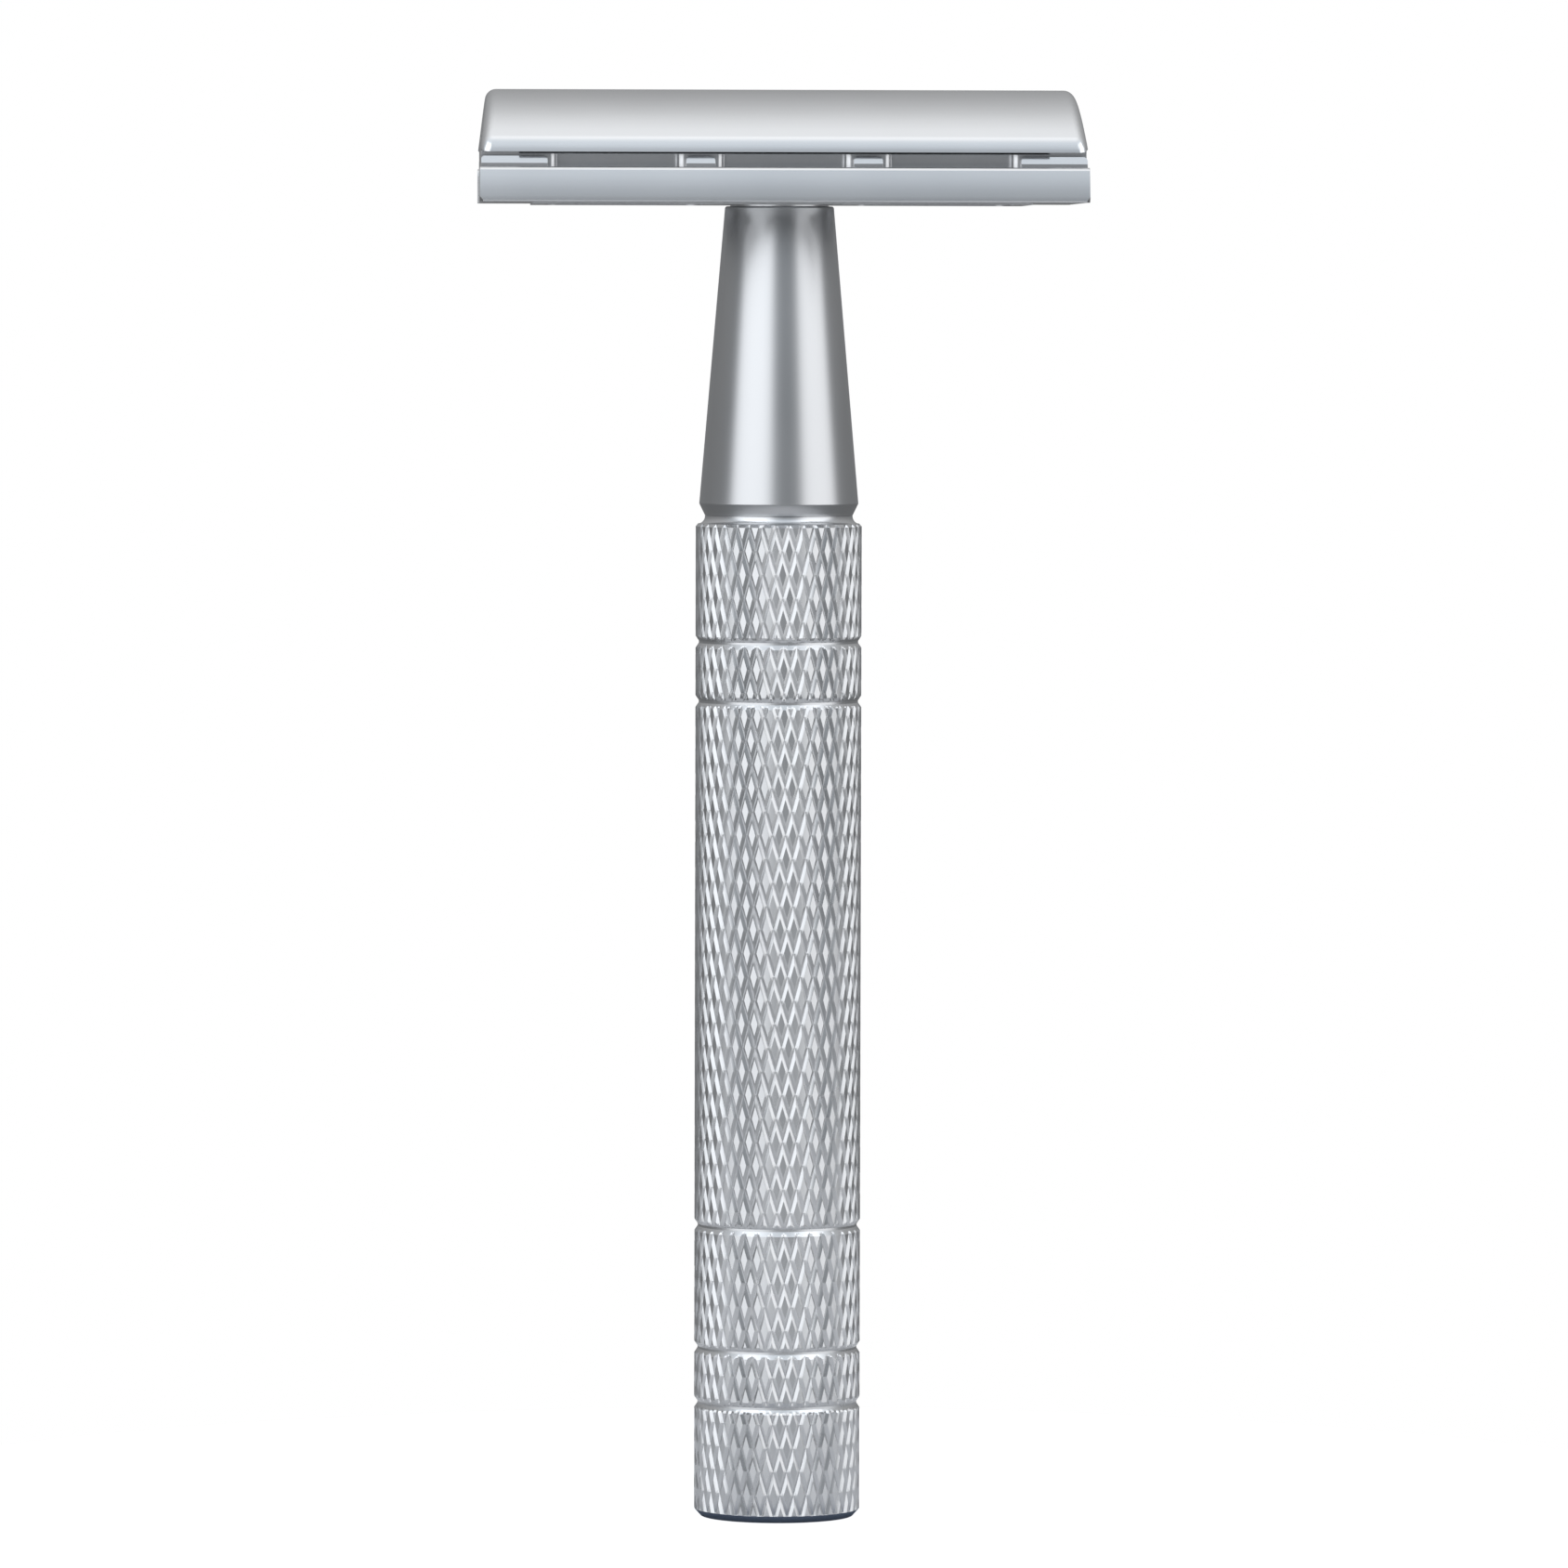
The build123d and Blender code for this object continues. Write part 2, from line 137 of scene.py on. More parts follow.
def make_camera():
    """A long lens that looks slightly down at the razor from in front."""
    data = bpy.data.cameras.new("camera")
    data.sensor_width = SENSOR_WIDTH
    data.lens = FOCAL_LENGTH
    camera = bpy.data.objects.new("camera", data)
    bpy.context.scene.collection.objects.link(camera)
    camera.location = (
        VIEW_DISTANCE * math.sin(VIEW_AZIMUTH),
        -VIEW_DISTANCE * math.cos(VIEW_AZIMUTH),
        EYE_HEIGHT,
    )
    camera.rotation_euler = (math.pi / 2 - TILT, ROLL, VIEW_AZIMUTH + PAN)
    bpy.context.scene.camera = camera


# ---------------------------------------------------------------- light and floor

def ramp(tree, value, stops):
    """A colour ramp over a value, from (position, colour) stops."""
    node = tree.nodes.new("ShaderNodeValToRGB")
    elements = node.color_ramp.elements
    while len(elements) < len(stops):
        elements.new(0.5)
    for element, (position, colour) in zip(elements, stops):
        element.position = position
        element.color = (*colour, 1.0)
    tree.links.new(value, node.inputs["Fac"])
    return node.outputs["Color"]


def sky_stops(levels):
    """Ramp stops for a sky, from (elevation in degrees, brightness, blueness)."""
    return [
        (
            (math.sin(math.radians(elevation)) + 1) / 2,
            (brightness * (1 - blue), brightness, brightness * (1 + blue)),
        )
        for elevation, brightness, blue in levels
    ]


# (elevation in degrees, brightness, blueness)
FRONT_SKY = [
    (-90, 0.18, 0.06), (-40, 0.18, 0.06), (-16, 0.20, 0.05), (-9, 0.75, 0.03), (-6, 0.75, 0.03),
    (-2.5, 0.22, 0.05), (5, 0.12, 0.06), (16, 0.38, 0.07), (32, 0.62, 0.08), (50, 0.86, 0.08),
    (70, 1.02, 0.07), (80, 1.20, 0.04), (90, 1.50, 0.01),
]
BACK_SKY = [
    (-90, 0.18, 0.03), (-10, 0.18, 0.02), (4, 0.25, 0.02), (15, 0.38, 0.01), (30, 0.48, 0.01),
    (40, 0.58, 0.01), (55, 0.80, 0.01), (61, 0.97, 0.01), (77, 1.27, 0.01), (90, 1.50, 0.01),
]
BACK_SKY_START = -0.3  # from in front, -1, to behind, 1
BACK_SKY_FULL = 0.4
SOFTBOX_DISTANCE = 0.70
SOFTBOX_LOW = -0.30
SOFTBOX_HIGH = 1.50
SOFTBOX_SIDE_FADE = 0.24  # of its width, along each upright edge
SOFTBOX_END_FADE = 0.233  # of its height
FLOOR_RADIUS = 0.075
FLOOR_CORNERS = 96
FLOOR_HEIGHT = -0.02 * MM  # just clear of the flat foot
FLOOR_PAINTED_SHADOW_RADIUS = 6.6 * MM  # radius of the painted shadow under the foot
FLOOR_PALE_RADIUS = 1.3 * FLOOR_PAINTED_SHADOW_RADIUS
# colour of the painted shadow under the foot
FLOOR_PAINTED_SHADOW = (0.10, 0.13, 0.19)
FLOOR_PALE = (0.62, 0.62, 0.63)
FLOOR_ROUGHNESS = 0.9
FLOOR_GLOW = 0.95  # brings what the camera sees of the floor up to white


def make_world():
    """A soft studio dome: dim at the horizon and bright overhead, and white where the camera sees it."""
    world = bpy.data.worlds.new("studio")
    bpy.context.scene.world = world
    world.use_nodes = True
    tree = world.node_tree
    link = tree.links.new
    background = tree.nodes["Background"]
    place = tree.nodes.new("ShaderNodeTexCoord")
    split = tree.nodes.new("ShaderNodeSeparateXYZ")
    link(place.outputs["Generated"], split.inputs[0])
    height = tree.nodes.new("ShaderNodeMapRange")
    height.inputs["From Min"].default_value = -1
    link(split.outputs["Z"], height.inputs["Value"])
    backness = tree.nodes.new("ShaderNodeMapRange")
    backness.interpolation_type = "SMOOTHSTEP"
    backness.inputs["From Min"].default_value = BACK_SKY_START
    backness.inputs["From Max"].default_value = BACK_SKY_FULL
    link(split.outputs["Y"], backness.inputs["Value"])
    sky = tree.nodes.new("ShaderNodeMix")
    sky.data_type = "RGBA"
    link(backness.outputs[0], sky.inputs["Factor"])
    link(ramp(tree, height.outputs[0], sky_stops(FRONT_SKY)), sky.inputs["A"])
    link(ramp(tree, height.outputs[0], sky_stops(BACK_SKY)), sky.inputs["B"])
    path = tree.nodes.new("ShaderNodeLightPath")
    seen = tree.nodes.new("ShaderNodeMix")
    seen.data_type = "RGBA"
    seen.inputs["B"].default_value = (1, 1, 1, 1)
    link(path.outputs["Is Camera Ray"], seen.inputs["Factor"])
    link(sky.outputs["Result"], seen.inputs["A"])
    link(seen.outputs["Result"], background.inputs["Color"])


def faded_edges(tree, share, fade):
    """Full in the middle and 0 at both ends of a share that runs from 0 to 1."""
    rising = tree.nodes.new("ShaderNodeMapRange")
    rising.interpolation_type = "SMOOTHSTEP"
    rising.inputs["From Max"].default_value = fade
    tree.links.new(share, rising.inputs["Value"])
    falling = tree.nodes.new("ShaderNodeMapRange")
    falling.interpolation_type = "SMOOTHSTEP"
    falling.inputs["From Min"].default_value = 1
    falling.inputs["From Max"].default_value = 1 - fade
    tree.links.new(share, falling.inputs["Value"])
    both = tree.nodes.new("ShaderNodeMath")
    both.operation = "MULTIPLY"
    tree.links.new(rising.outputs[0], both.inputs[0])
    tree.links.new(falling.outputs[0], both.inputs[1])
    return both.outputs[0]


def softbox(name, azimuth, width, radiance, colour):
    """An upright soft panel that faces the razor. Azimuth 0 is in front, and positive is to the right."""
    height = SOFTBOX_HIGH - SOFTBOX_LOW
    light = bpy.data.lights.new(name, "AREA")
    light.shape = "RECTANGLE"
    light.size = width
    light.size_y = height
    light.energy = radiance * math.pi * width * height
    light.color = colour
    light.use_nodes = True
    tree = light.node_tree
    place = tree.nodes.new("ShaderNodeNewGeometry")
    split = tree.nodes.new("ShaderNodeSeparateXYZ")
    tree.links.new(place.outputs["Parametric"], split.inputs[0])
    across = faded_edges(tree, split.outputs["X"], SOFTBOX_SIDE_FADE)
    upward = faded_edges(tree, split.outputs["Y"], SOFTBOX_END_FADE)
    both = tree.nodes.new("ShaderNodeMath")
    both.operation = "MULTIPLY"
    tree.links.new(across, both.inputs[0])
    tree.links.new(upward, both.inputs[1])
    tree.links.new(both.outputs[0], tree.nodes["Emission"].inputs["Strength"])
    panel = bpy.data.objects.new(name, light)
    bpy.context.scene.collection.objects.link(panel)
    angle = math.radians(azimuth)
    panel.location = (
        SOFTBOX_DISTANCE * math.sin(angle),
        -SOFTBOX_DISTANCE * math.cos(angle),
        (SOFTBOX_LOW + SOFTBOX_HIGH) / 2,
    )
    panel.rotation_euler = (math.pi / 2, 0, angle)


def make_lights():
    """One soft panel on each side of the camera."""
    softbox("left_softbox", azimuth=-43.5, width=1.10, radiance=1.31, colour=(0.955, 0.975, 1.0))
    softbox("right_softbox", azimuth=60, width=0.96, radiance=1.17, colour=(0.985, 0.99, 1.0))


def floor_with_painted_shadow():
    """Pale paint with a painted shadow under the foot, and white where the camera sees it."""
    material, tree, shader = new_material("floor_with_painted_shadow")
    place = tree.nodes.new("ShaderNodeTexCoord")
    from_axis = tree.nodes.new("ShaderNodeVectorMath")
    from_axis.operation = "LENGTH"
    tree.links.new(place.outputs["Object"], from_axis.inputs[0])
    # darkest near the axis: a painted shadow under the foot that fades out to the pale paint
    out = mapped(tree, from_axis.outputs["Value"], FLOOR_PAINTED_SHADOW_RADIUS, FLOOR_PALE_RADIUS, 0.0, 1.0)
    paint = ramp(tree, out, [(0.0, FLOOR_PAINTED_SHADOW), (1.0, FLOOR_PALE)])
    tree.links.new(paint, shader.inputs["Base Color"])
    shader.inputs["Roughness"].default_value = FLOOR_ROUGHNESS
    shader.inputs["Emission Color"].default_value = (1, 1, 1, 1)
    path = tree.nodes.new("ShaderNodeLightPath")
    glow = tree.nodes.new("ShaderNodeMath")
    glow.operation = "MULTIPLY"
    glow.inputs[1].default_value = FLOOR_GLOW
    tree.links.new(path.outputs["Is Camera Ray"], glow.inputs[0])
    tree.links.new(glow.outputs[0], shader.inputs["Emission Strength"])
    return material


def make_floor():
    """A round table top under the razor."""
    mesh = bpy.data.meshes.new("floor")
    turns = [2 * math.pi * i / FLOOR_CORNERS for i in range(FLOOR_CORNERS)]
    corners = [
        (FLOOR_RADIUS * math.cos(turn), FLOOR_RADIUS * math.sin(turn), FLOOR_HEIGHT) for turn in turns
    ]
    mesh.from_pydata(corners, [], [list(range(FLOOR_CORNERS))])
    mesh.materials.append(floor_with_painted_shadow())
    floor = bpy.data.objects.new("floor", mesh)
    bpy.context.scene.collection.objects.link(floor)


# ---------------------------------------------------------------- materials

CLOUD_SCALE = 140.0
CLOUD_LOW = 0.3  # the part of the noise's range that carries the drift
CLOUD_HIGH = 0.7
NOISE_DETAIL = 3.0
EDGE_SAMPLES = 4
CAST_EDGE = 0.04 * MM  # how far the castings' edges look rounded
CAST_GRAIN = (1, 1, 1)
TURNED_GRAIN = (0.05, 0.05, 1)  # rings round the axis
ROLLED_GRAIN = (0.04, 1, 1)  # lines along the blade


def new_material(name):
    """A node material and its shader."""
    material = bpy.data.materials.new(name)
    material.use_nodes = True
    return material, material.node_tree, material.node_tree.nodes["Principled BSDF"]


def stretched_noise(tree, scale, stretch):
    """Noise in the razor's own metres, stretched along an axis where stretch is small."""
    place = tree.nodes.new("ShaderNodeTexCoord")
    mapping = tree.nodes.new("ShaderNodeMapping")
    mapping.inputs["Scale"].default_value = stretch
    noise = tree.nodes.new("ShaderNodeTexNoise")
    noise.inputs["Scale"].default_value = scale
    noise.inputs["Detail"].default_value = NOISE_DETAIL
    tree.links.new(place.outputs["Object"], mapping.inputs["Vector"])
    tree.links.new(mapping.outputs["Vector"], noise.inputs["Vector"])
    return noise.outputs["Fac"]


def mapped(tree, value, from_low, from_high, low, high):
    """A value carried over from one range to another."""
    node = tree.nodes.new("ShaderNodeMapRange")
    node.inputs["From Min"].default_value = from_low
    node.inputs["From Max"].default_value = from_high
    node.inputs["To Min"].default_value = low
    node.inputs["To Max"].default_value = high
    tree.links.new(value, node.inputs["Value"])
    return node.outputs["Result"]


def add_bump(tree, height, distance, normal=None):
    """A bump over a height, on top of another normal if there is one."""
    node = tree.nodes.new("ShaderNodeBump")
    node.inputs["Strength"].default_value = 1.0
    node.inputs["Distance"].default_value = distance
    tree.links.new(height, node.inputs["Height"])
    if normal is not None:
        tree.links.new(normal, node.inputs["Normal"])
    return node.outputs["Normal"]


def soft_edges(tree, radius):
    """A normal that rounds every edge by the radius."""
    node = tree.nodes.new("ShaderNodeBevel")
    node.samples = EDGE_SAMPLES
    node.inputs["Radius"].default_value = radius
    return node.outputs["Normal"]


def metal(name, colour, tone, roughness, spread, grain, grain_scale, grain_depth, edge=None):
    """A metal whose tone and roughness drift a little, under a fine grain."""
    material, tree, shader = new_material(name)
    shader.inputs["Metallic"].default_value = 1.0
    cloud = stretched_noise(tree, CLOUD_SCALE, (1, 1, 1))
    grain_height = stretched_noise(tree, grain_scale, grain)
    dark = tuple(channel * (1 - tone) for channel in colour)
    paint = ramp(tree, cloud, [(CLOUD_LOW, dark), (CLOUD_HIGH, colour)])
    tree.links.new(paint, shader.inputs["Base Color"])
    rough_cloud = mapped(tree, cloud, CLOUD_LOW, CLOUD_HIGH, roughness - spread, roughness + spread)
    tree.links.new(rough_cloud, shader.inputs["Roughness"])
    normal = soft_edges(tree, edge) if edge else None
    tree.links.new(add_bump(tree, grain_height, grain_depth, normal), shader.inputs["Normal"])
    return material


def cast_chrome():
    """Satin plate on the cap and the base plate."""
    return metal(
        "cast_chrome", (0.66, 0.665, 0.675), tone=0.02, roughness=0.24, spread=0.01,
        grain=CAST_GRAIN, grain_scale=5200, grain_depth=0.4e-6, edge=CAST_EDGE,
    )


def turned_chrome():
    """Satin plate on the neck and the foot."""
    return metal(
        "turned_chrome", (0.62, 0.625, 0.635), tone=0.02, roughness=0.29, spread=0.008,
        grain=TURNED_GRAIN, grain_scale=6000, grain_depth=0.4e-6,
    )


def knurled_chrome():
    """Satin plate on the barrel."""
    return metal(
        "knurled_chrome", (0.64, 0.645, 0.655), tone=0.05, roughness=0.28, spread=0.03,
        grain=CAST_GRAIN, grain_scale=5200, grain_depth=0.6e-6,
    )


def blade_steel():
    """Rolled stainless strip."""
    return metal(
        "blade_steel", (0.56, 0.57, 0.59), tone=0.06, roughness=0.22, spread=0.03,
        grain=ROLLED_GRAIN, grain_scale=5200, grain_depth=0.6e-6,
    )


def turned_steel():
    """The stud's and the pins' steel."""
    return metal(
        "turned_steel", (0.50, 0.50, 0.51), tone=0.10, roughness=0.30, spread=0.05,
        grain=TURNED_GRAIN, grain_scale=6000, grain_depth=0.8e-6,
    )


def bush_brass():
    """The bush's brass."""
    return metal(
        "bush_brass", (0.72, 0.53, 0.25), tone=0.10, roughness=0.28, spread=0.05,
        grain=TURNED_GRAIN, grain_scale=6000, grain_depth=0.8e-6,
    )


def finish_node(name, material):
    """Gives a CAD node its material."""
    for material_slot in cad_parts[name].material_slots:
        material_slot.material = material


# ---------------------------------------------------------------- mesh helpers

def piece(name, bm, body, replaced, material, crease=EDGE_CREASE):
    """Turns a finished mesh into a piece of the razor. Edges sharper than the crease stay sharp."""
    bmesh.ops.recalc_face_normals(bm, faces=bm.faces)
    for face in bm.faces:
        face.smooth = True
    for edge in bm.edges:
        edge.smooth = edge.is_manifold and edge.calc_face_angle(0) < crease
    mesh = bpy.data.meshes.new(name)
    bm.to_mesh(mesh)
    bm.free()
    mesh.materials.append(material)
    made = bpy.data.objects.new(name, mesh)
    bpy.context.scene.collection.objects.link(made)
    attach(made, body)
    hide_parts(replaced)


def ring(bm, radius, height, segments):
    """A level circle of vertices about the axis."""
    return [
        bm.verts.new((
            radius * math.cos(2 * math.pi * i / segments - math.pi),
            radius * math.sin(2 * math.pi * i / segments - math.pi),
            height,
        ))
        for i in range(segments)
    ]


def join_rings(bm, first, second):
    """Quads between two rings of the same size."""
    for i, vertex in enumerate(first):
        after = (i + 1) % len(first)
        bm.faces.new((vertex, first[after], second[after], second[i]))


def turn_of(vertex):
    """A vertex's angle about the axis."""
    return math.atan2(vertex.co.y, vertex.co.x)


def zip_rings(bm, first, second):
    """Triangles between two rings of different sizes, each in order of angle."""
    turns = [
        [turn_of(vertex) for vertex in loop] + [turn_of(loop[0]) + 2 * math.pi]
        for loop in (first, second)
    ]
    i = j = 0
    while i < len(first) or j < len(second):
        a = first[i % len(first)]
        b = second[j % len(second)]
        step_first = j == len(second) or (i < len(first) and turns[0][i + 1] <= turns[1][j + 1])
        if step_first:
            i += 1
            bm.faces.new((a, first[i % len(first)], b))
        else:
            j += 1
            bm.faces.new((a, second[j % len(second)], b))


def cut_plane(bm, point, normal):
    """Adds mesh lines where a plane crosses the whole mesh."""
    geometry = [*bm.verts, *bm.edges, *bm.faces]
    bmesh.ops.bisect_plane(bm, geom=geometry, dist=CUT_TOLERANCE, plane_co=point, plane_no=normal)


def cut_level(bm, height):
    """Adds mesh lines along a level plane."""
    cut_plane(bm, (0, 0, height), (0, 0, 1))


def open_ring(bm, height):
    """The open edge at a level, in order of angle."""
    found = {
        vertex
        for edge in bm.edges
        if edge.is_boundary
        for vertex in edge.verts
        if abs(vertex.co.z - height) < LEVEL_TOLERANCE
    }
    return sorted(found, key=turn_of)


def trim(bm, low, high):
    """Cuts the mesh off level at both heights."""
    cut_level(bm, low)
    cut_level(bm, high)
    outside = [face for face in bm.faces if not low < face.calc_center_median().z < high]
    bmesh.ops.delete(bm, geom=outside, context="FACES")


def lathe(bm, outline):
    """A solid of revolution from (radius, height) corners, of which the first and last lie on the axis."""
    rings = []
    for radius, height in outline:
        if radius == 0:
            rings.append([bm.verts.new((0, 0, height))])
        else:
            rings.append(ring(bm, radius, height, LATHE_SEGMENTS))
    for first, second in zip(rings, rings[1:]):
        if len(first) == 1 or len(second) == 1:
            tip, loop = (first[0], second) if len(first) == 1 else (second[0], first)
            for i, vertex in enumerate(loop):
                bm.faces.new((tip, vertex, loop[(i + 1) % LATHE_SEGMENTS]))
        else:
            join_rings(bm, first, second)


def rounded(outline):
    """The outline with a short bend in place of each corner, apart from its two ends."""
    result = [outline[0]]
    for before, corner, after in zip(outline, outline[1:], outline[2:]):
        here = Vector(corner)
        back = Vector(before) - here
        ahead = Vector(after) - here
        start = here + back.normalized() * min(EDGE_ROUND, back.length / 3)
        end = here + ahead.normalized() * min(EDGE_ROUND, ahead.length / 3)
        for i in range(EDGE_STEPS + 1):
            t = i / EDGE_STEPS
            point = start * (1 - t) ** 2 + here * 2 * t * (1 - t) + end * t**2
            result.append(tuple(point))
    result.append(outline[-1])
    return result


# ---------------------------------------------------------------- knurled barrel

def knurl_lines():
    """Where the mesh lines run across one knurl cell, as shares of the cell."""
    edge = KNURL_HALF_WIDTH + KNURL_EDGE
    return [0.0, KNURL_HALF_WIDTH, edge, 0.5, 1 - edge, 1 - KNURL_HALF_WIDTH]


def knurl_drop(share):
    """How deep one family of grooves cuts, at a share of the way from one groove to the next."""
    distance = min(share, 1 - share)
    if distance >= KNURL_HALF_WIDTH + KNURL_EDGE:
        return 0.0
    if distance >= KNURL_HALF_WIDTH:
        return KNURL_EDGE_DROP * (1 - (distance - KNURL_HALF_WIDTH) / KNURL_EDGE)
    slope = (KNURL_DEPTH - KNURL_EDGE_DROP) / KNURL_HALF_WIDTH
    return KNURL_DEPTH - slope * distance


def split_quad(bm, corners, drops, middle_drop):
    """Fills four corners, split along the diagonal whose middle lies nearer to the given depth."""
    through_even = (drops[0] + drops[2]) / 2
    through_odd = (drops[1] + drops[3]) / 2
    if abs(through_even - through_odd) < FLAT_TOLERANCE:
        bm.faces.new(corners)
    elif abs(through_even - middle_drop) < abs(through_odd - middle_drop):
        bm.faces.new((corners[0], corners[1], corners[2]))
        bm.faces.new((corners[0], corners[2], corners[3]))
    else:
        bm.faces.new((corners[0], corners[1], corners[3]))
        bm.faces.new((corners[1], corners[2], corners[3]))


def knurl_sheet(bm, radius, low, high):
    """The knurled skin of the barrel, past both heights, with mesh lines along both families of grooves.

    A mesh line's number counts through the cells of its family, with its place in the cell as the remainder.
    """
    lines = knurl_lines()
    count = len(lines)
    row_height = 1 / (1 / KNURL_PERIODS[0] + 1 / KNURL_PERIODS[1])
    first_row = math.floor(low / row_height) - 2
    last_row = math.ceil(high / row_height) + 2
    made = {}

    def place(u, v):
        """Turn and height where line u of one family crosses line v of the other."""
        height = (u - v) * row_height
        turn = (u - height / KNURL_PERIODS[0]) * 2 * math.pi / KNURL_STARTS
        return turn + KNURL_TURN, height + KNURL_RISE

    def vertex(a, b):
        """The shared vertex where two lines cross, the same after a full turn."""
        wraps = b // (count * KNURL_STARTS)
        key = (a - wraps * count * KNURL_STARTS, b - wraps * count * KNURL_STARTS)
        if key not in made:
            u, v = (i // count + lines[i % count] for i in (a, b))
            turn, height = place(u, v)
            drop = max(knurl_drop(u % 1), knurl_drop(v % 1))
            reach = radius - drop
            made[key] = bm.verts.new((reach * math.cos(turn), reach * math.sin(turn), height))
        return made[key]

    def drop_between(a, b):
        """The depth in the middle of the mesh cell past two lines."""
        middles = [
            (lines[i % count] + (lines[i % count + 1] if i % count + 1 < count else 1.0)) / 2
            for i in (a, b)
        ]
        return max(knurl_drop(share) for share in middles)

    for row in range(first_row, last_row + 1):
        for column in range(KNURL_STARTS):
            for i in range(count):
                for j in range(count):
                    a = column * count + i
                    b = (column - row) * count + j
                    corners = [vertex(a, b), vertex(a + 1, b), vertex(a + 1, b + 1), vertex(a, b + 1)]
                    drops = [radius - math.hypot(corner.co.x, corner.co.y) for corner in corners]
                    split_quad(bm, corners, drops, drop_between(a, b))


def groove_radius(radius, away):
    """The barrel's radius inside a flat-bottomed V groove, at a distance from the groove's middle."""
    share = max(0.0, away - GROOVE_HALF_FLAT) / (GROOVE_HALF_WIDTH - GROOVE_HALF_FLAT)
    return radius - GROOVE_DEPTH * (1 - share)


def press_groove(bm, radius, height):
    """Cuts level lines across one groove and presses everything between them down to its walls."""
    for i in range(GROOVE_WALL_STEPS + 1):
        away = GROOVE_HALF_FLAT + (GROOVE_HALF_WIDTH - GROOVE_HALF_FLAT) * i / GROOVE_WALL_STEPS
        cut_level(bm, height - away)
        cut_level(bm, height + away)
    for vertex in bm.verts:
        away = abs(vertex.co.z - height)
        reach = math.hypot(vertex.co.x, vertex.co.y)
        limit = groove_radius(radius, away)
        if away < GROOVE_HALF_WIDTH and reach > limit:
            vertex.co.x *= limit / reach
            vertex.co.y *= limit / reach


def shoulder_profile(top):
    """(radius, height) points up the barrel's hollow shoulder, from its edge to the neck."""
    angles = [math.pi / 2 * (1 - i / SHOULDER_STEPS) for i in range(SHOULDER_STEPS + 1)]
    return [
        (
            JOINT_RADIUS + (SHOULDER_BREAK_RADIUS - JOINT_RADIUS) * (1 - math.cos(angle)),
            top - (top - SHOULDER_BREAK_HEIGHT) * math.sin(angle),
        )
        for angle in angles
    ]


def make_grip(material):
    """The knurled barrel with its five grooves, hollow shoulder and bore."""
    low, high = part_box("grip")
    radius = high.x
    bm = bmesh.new()
    knurl_sheet(bm, radius, low.z, SHOULDER_FLAT)
    for height in GROOVE_HEIGHTS:
        press_groove(bm, radius, height)
    trim(bm, low.z, SHOULDER_FLAT)
    foot_edge = open_ring(bm, low.z)
    shoulder_edge = open_ring(bm, SHOULDER_FLAT)
    profile = [*shoulder_profile(high.z), (BORE_RADIUS, high.z), (BORE_RADIUS, low.z)]
    rings = [ring(bm, reach, level, BORE_SEGMENTS) for reach, level in profile]
    zip_rings(bm, shoulder_edge, rings[0])
    for first, second in zip(rings, rings[1:]):
        join_rings(bm, first, second)
    zip_rings(bm, foot_edge, rings[-1])
    piece("knurled_grip", bm, "handle", "grip", material, KNURL_CREASE)


# ---------------------------------------------------------------- neck and foot

def make_neck(material):
    """The tapered neck, with its spigot below and the bush's pocket in its top."""
    low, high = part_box("neck")
    cone_start_radius = high.x
    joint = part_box("grip")[1].z
    bush_low, bush_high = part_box("neck_insert")
    bm = bmesh.new()
    outline = [
        (0, low.z),
        (BORE_RADIUS - NECK_SPIGOT_LEAD, low.z),
        (BORE_RADIUS, low.z + NECK_SPIGOT_LEAD),
        (BORE_RADIUS, joint),
        (JOINT_RADIUS, joint),
        (cone_start_radius, CONE_START),
        (CONE_END_RADIUS, high.z - CONE_EDGE),
        (CONE_END_RADIUS - CONE_EDGE, high.z),
        (bush_high.x, high.z),
        (bush_high.x, bush_low.z),
        (0, bush_low.z),
    ]
    lathe(bm, rounded(outline))
    piece("tapered_neck", bm, "handle", "neck", material)


def make_foot(material):
    """The chamfered foot, with its spigot up in the barrel."""
    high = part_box("end_plug")[1]
    foot_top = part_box("grip")[0].z
    bm = bmesh.new()
    outline = [
        (0, 0),
        (FOOT_RADIUS, 0),
        (high.x, foot_top),
        (BORE_RADIUS, foot_top),
        (BORE_RADIUS, high.z - FOOT_SPIGOT_LEAD),
        (BORE_RADIUS - FOOT_SPIGOT_LEAD, high.z),
        (0, high.z),
    ]
    lathe(bm, rounded(outline))
    piece("foot_plug", bm, "handle", "end_plug", material)


# ---------------------------------------------------------------- stud and bush

def thread_sheet(bm, root, crest, low, high):
    """A right-hand thread's skin, past both heights, with mesh lines along the helix."""
    depth = crest - root
    drops = [depth, depth, 0.0, 0.0, depth]
    rows = len(THREAD_SHARES)
    first_turn = math.floor(low / THREAD_PITCH) - 2
    last_turn = math.ceil(high / THREAD_PITCH) + 1
    made = {}

    def vertex(step, row):
        if row == rows:
            step, row = step + THREAD_SEGMENTS, 0
        if (step, row) not in made:
            angle = 2 * math.pi * step / THREAD_SEGMENTS
            height = THREAD_PITCH * (step / THREAD_SEGMENTS + THREAD_SHARES[row])
            reach = crest - drops[row]
            made[step, row] = bm.verts.new((reach * math.cos(angle), reach * math.sin(angle), height))
        return made[step, row]

    for step in range(first_turn * THREAD_SEGMENTS, last_turn * THREAD_SEGMENTS):
        for row in range(rows):
            bm.faces.new((
                vertex(step, row), vertex(step + 1, row), vertex(step + 1, row + 1), vertex(step, row + 1)
            ))


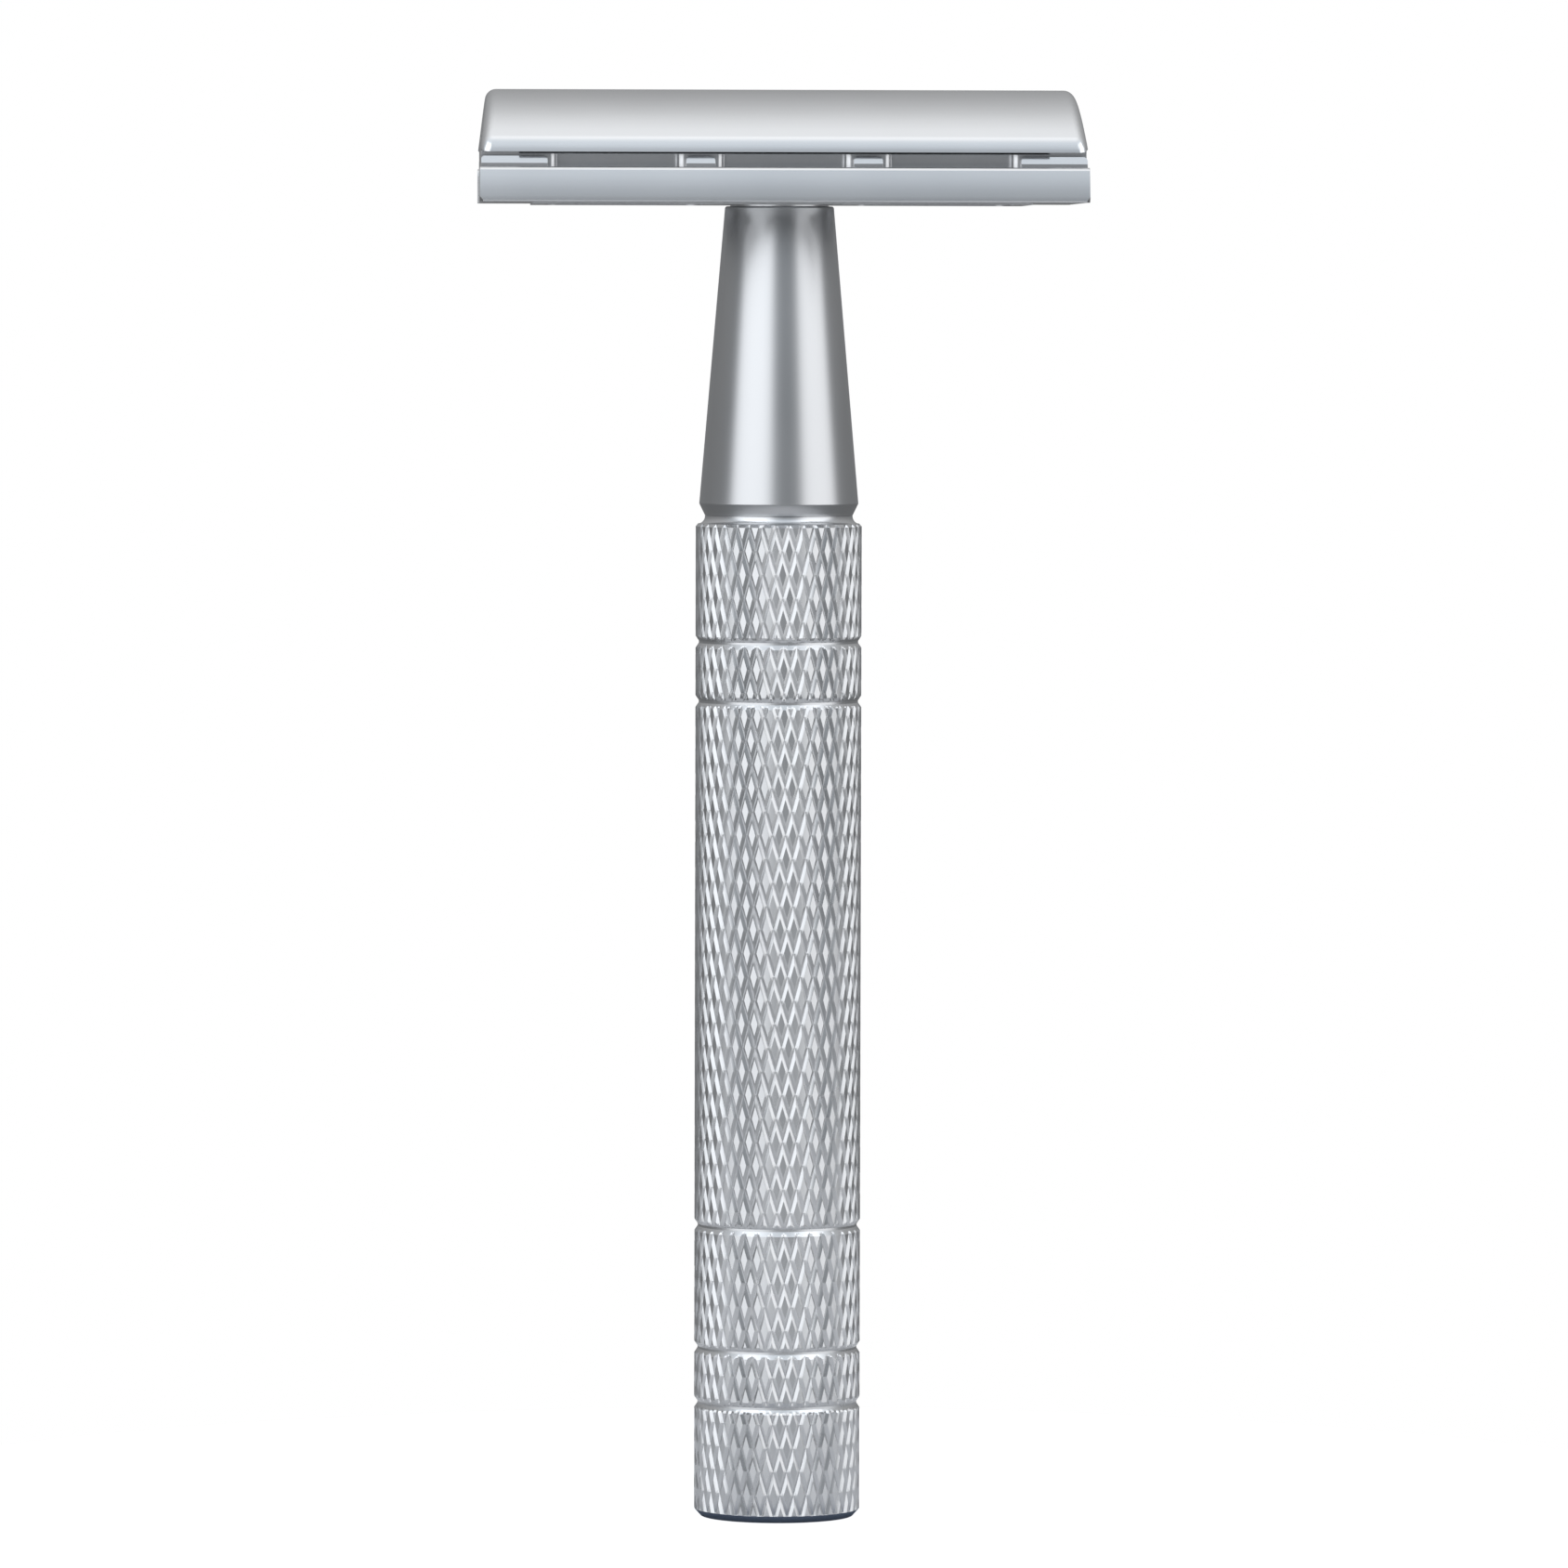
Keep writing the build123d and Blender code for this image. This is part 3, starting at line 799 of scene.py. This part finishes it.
def make_stud(material):
    """The threaded stud, with a tapered point and a plain end inside the cap."""
    low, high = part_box("threaded_stud")
    crest = high.x
    root = crest - THREAD_DEPTH
    cap_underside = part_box("blade")[1].z
    thread_low = low.z + STUD_POINT_LENGTH
    thread_high = cap_underside - STUD_PLAIN_LENGTH
    bm = bmesh.new()
    thread_sheet(bm, root, crest, thread_low, thread_high)
    trim(bm, thread_low, thread_high)
    point = ring(bm, root - STUD_POINT_START, thread_low, THREAD_SEGMENTS)
    zip_rings(bm, open_ring(bm, thread_low), point)
    tip = ring(bm, root - STUD_POINT_END, low.z, THREAD_SEGMENTS)
    join_rings(bm, point, tip)
    bm.faces.new(tip)
    runout = ring(bm, root, thread_high + STUD_RUNOUT, THREAD_SEGMENTS)
    zip_rings(bm, open_ring(bm, thread_high), runout)
    collar = ring(bm, crest, cap_underside, THREAD_SEGMENTS)
    join_rings(bm, runout, collar)
    top = ring(bm, crest, high.z, THREAD_SEGMENTS)
    join_rings(bm, collar, top)
    bm.faces.new(top)
    piece("thread_stud", bm, "top_cap", "threaded_stud", material)


def make_bush(material):
    """The bush in the neck, with the matching thread inside and a plain mouth at each end."""
    low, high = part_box("neck_insert")
    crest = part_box("threaded_stud")[1].x + THREAD_CLEARANCE
    root = crest - THREAD_DEPTH
    mouth_radius = crest + BUSH_MOUTH_STEP
    thread_low = low.z + BUSH_MOUTH_DEPTH
    thread_high = high.z - BUSH_MOUTH_DEPTH
    bm = bmesh.new()
    thread_sheet(bm, root, crest, low.z, high.z)
    trim(bm, thread_low, thread_high)
    rims = []
    for level, end in ((thread_low, low.z), (thread_high, high.z)):
        step = ring(bm, mouth_radius, level, THREAD_SEGMENTS)
        zip_rings(bm, open_ring(bm, level), step)
        lip = ring(bm, mouth_radius, end, THREAD_SEGMENTS)
        join_rings(bm, step, lip)
        rims.append(ring(bm, high.x, end, THREAD_SEGMENTS))
        join_rings(bm, lip, rims[-1])
    join_rings(bm, *rims)
    piece("thread_bush", bm, "handle", "neck_insert", material)


# ---------------------------------------------------------------- blade

def blade_outline():
    """The blade's flat outline: two long edges, narrowed at each end to a tab."""
    half_edge = BLADE_EDGE_LENGTH / 2
    low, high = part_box("blade")
    half_length = (high.x - low.x) / 2
    half_width = BLADE_WIDTH / 2
    half_tab = BLADE_TAB_WIDTH / 2
    quarter = [
        (half_length, half_tab - BLADE_TAB_CORNER),
        (half_length - BLADE_TAB_CORNER, half_tab),
        (half_edge, half_tab),
        (half_edge, half_width),
    ]
    left = [(-x, y) for x, y in reversed(quarter)]
    upper = quarter + left
    return upper + [(-x, -y) for x, y in upper]


def blade_openings():
    """The slot with the stud's hole and the two pin holes, which all meet, as one outline."""
    holes = [
        (PIN_SPACING / 2, BLADE_PIN_HOLE_RADIUS),
        (0.0, BLADE_HOLE_RADIUS),
        (-PIN_SPACING / 2, BLADE_PIN_HOLE_RADIUS),
    ]
    half_slot = BLADE_SLOT_WIDTH / 2
    end = BLADE_SLOT_LENGTH / 2 - half_slot
    upper = []
    for x, radius in holes:
        start = math.asin(half_slot / radius)
        for i in range(HOLE_STEPS + 1):
            angle = start + (math.pi - 2 * start) * i / HOLE_STEPS
            upper.append((x + radius * math.cos(angle), radius * math.sin(angle)))
    end_angles = [math.pi * i / SLOT_END_STEPS - math.pi / 2 for i in range(SLOT_END_STEPS + 1)]
    right_end = [(end + half_slot * math.cos(a), half_slot * math.sin(a)) for a in end_angles]
    left_end = [(-x, -y) for x, y in right_end]
    lower = [(-x, -y) for x, y in upper]
    return right_end + upper + left_end + lower


def flat_blade():
    """The blade's mesh before it is ground and bent, lying level about the origin."""
    curve = bpy.data.curves.new("blade_flat", "CURVE")
    curve.dimensions = "2D"
    curve.fill_mode = "BOTH"
    curve.extrude = BLADE_THICKNESS / 2
    for points in (blade_outline(), blade_openings()):
        spline = curve.splines.new("POLY")
        spline.points.add(len(points) - 1)
        for point, (x, y) in zip(spline.points, points):
            point.co = (x, y, 0, 1)
        spline.use_cyclic_u = True
    flat = bpy.data.objects.new("blade_flat", curve)
    bm = bmesh.new()
    bm.from_mesh(bpy.data.meshes.new_from_object(flat))
    bpy.data.objects.remove(flat)
    bmesh.ops.remove_doubles(bm, verts=bm.verts, dist=MERGE_DISTANCE)
    return bm


def make_blade(material):
    """The double-edge blade: a slotted strip with two ground edges, bent to the base plate's crown."""
    bm = flat_blade()
    facet = BLADE_WIDTH / 2 - BLADE_BEVEL
    for y in [facet, -facet] + [line * MM for line in BLADE_BEND_LINES]:
        cut_plane(bm, (0, y, 0), (0, 1, 0))
    middle = BLADE_BEND - BLADE_THICKNESS / 2
    axis_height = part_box("blade")[1].z - BLADE_BEND
    for vertex in bm.verts:
        x, y, z = vertex.co
        ground = max(0.0, (abs(y) - facet) / BLADE_BEVEL)
        z *= 1 - ground * (1 - BLADE_TIP / BLADE_THICKNESS)
        angle = y / middle
        vertex.co = (x, (middle + z) * math.sin(angle), axis_height + (middle + z) * math.cos(angle))
    piece("razor_blade", bm, "edge", "blade", material, BLADE_CREASE)


# ---------------------------------------------------------------- the whole razor

make_camera()
make_world()
make_lights()
make_floor()
cast = cast_chrome()
turned = turned_chrome()
steel = turned_steel()
finish_node("cap", cast)
finish_node("base_plate", cast)
finish_node("locating_pins", steel)
make_grip(knurled_chrome())
make_neck(turned)
make_foot(turned)
make_stud(steel)
make_bush(bush_brass())
make_blade(blade_steel())

bpy.context.scene.view_settings.view_transform = "Standard"
